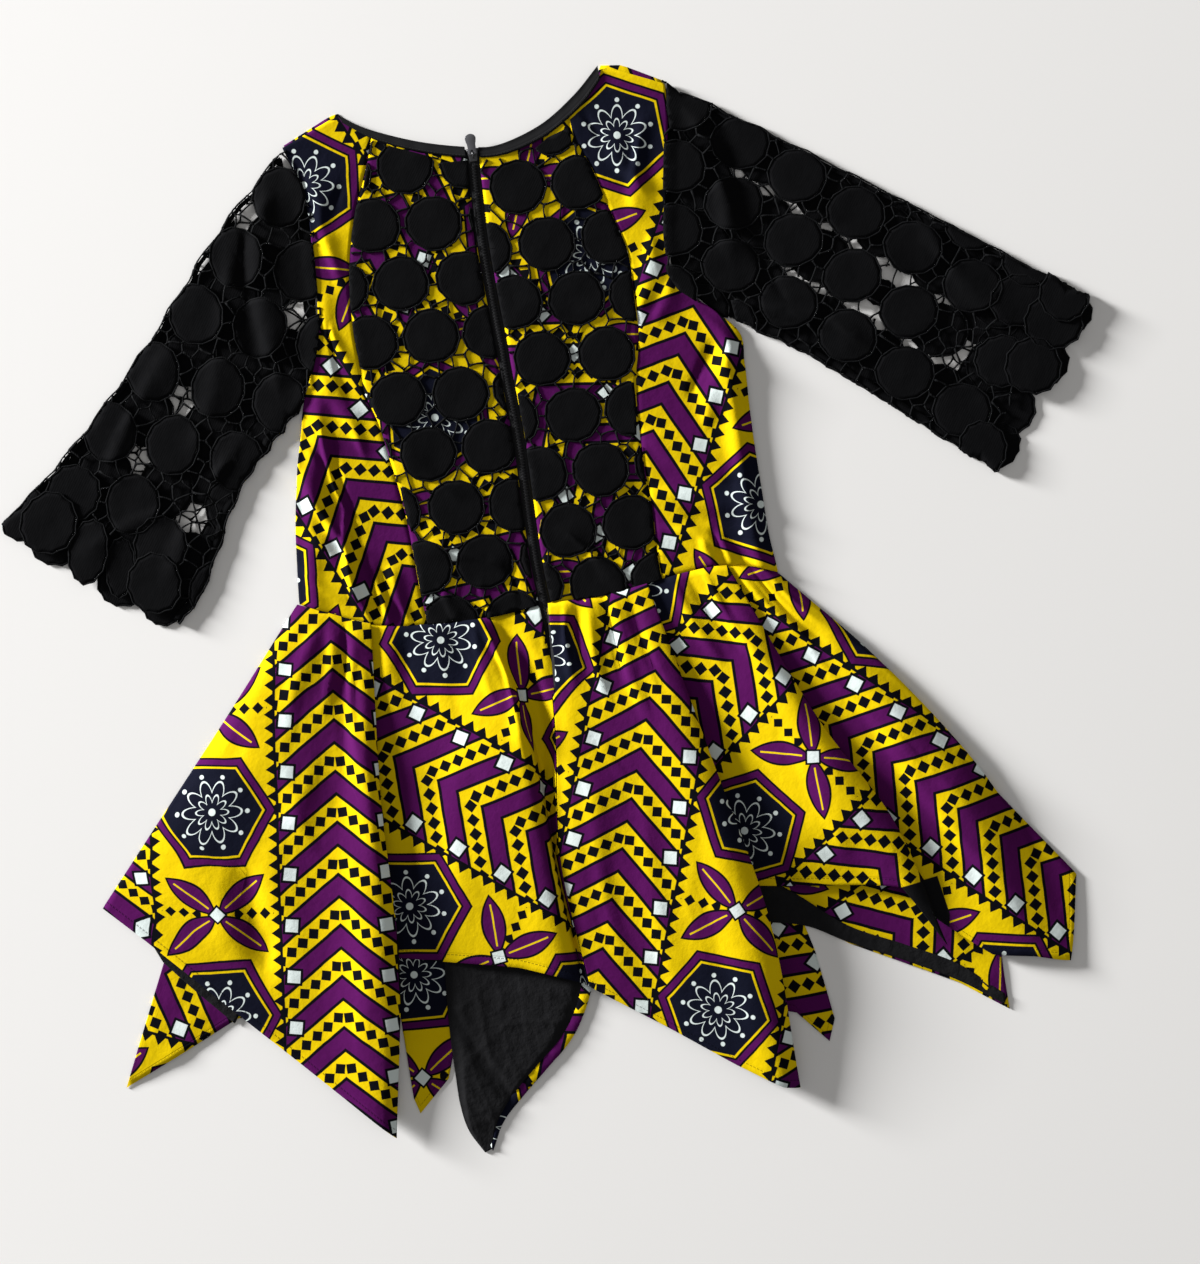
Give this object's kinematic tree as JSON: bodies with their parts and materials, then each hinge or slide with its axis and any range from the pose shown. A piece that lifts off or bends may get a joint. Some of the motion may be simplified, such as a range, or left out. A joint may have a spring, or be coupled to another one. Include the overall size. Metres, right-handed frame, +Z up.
{
  "type": "african wax print dress",
  "caption": "Dress laid flat on its front: wax print bodice with lace over the centre back, zip, three-quarter lace sleeves and a short flared skirt with a pointed handkerchief hem",
  "frame": {"origin": "middle of the laid-out dress, on the surface it lies on", "axes": "+Z up from the surface, +Y along the zip from hem to neck, +X to the right-hand sleeve as seen from above"},
  "size_m": [1.0213, 0.9751, 0.0208],
  "materials": {
    "print_cloth": "printed cotton, yellow ground with purple, navy and white",
    "lace": "black guipure lace, matt discs and corded bars",
    "binding": "black cotton bias binding",
    "lining": "black crinkled lining",
    "zip_tape": "black woven zip tape",
    "zip_metal": "black lacquered metal"
  },
  "bodies": {
    "dress": {"front_bodice": "print_cloth", "neck_binding_front": "binding", "centre_back_left": "print_cloth", "centre_back_right": "print_cloth", "lace_back_left": "lace", "lace_back_right": "lace", "side_back_left": "print_cloth", "side_back_right": "print_cloth", "neck_binding_back_left": "binding", "neck_binding_back_right": "binding", "zip_tape_left": "zip_tape", "zip_tape_right": "zip_tape", "zip_slider": "zip_metal", "sleeve_left": "lace", "sleeve_right": "lace", "skirt_back_left": "print_cloth", "skirt_back_right": "print_cloth", "skirt_front": "print_cloth", "skirt_lining_left": "lining", "skirt_lining_middle": "lining", "skirt_lining_right": "lining", "skirt_hem_middle": "print_cloth"},
    "zip_pull": {"zip_pull": "zip_metal"}
  },
  "joints": [
    {"name": "pull_hinge", "type": "hinge", "parent": "dress", "child": "zip_pull", "pos_m": [-0.02813, 0.4264, 0.0073], "axis": [1, 0, 0], "range_deg": [0, 175]}
  ]
}
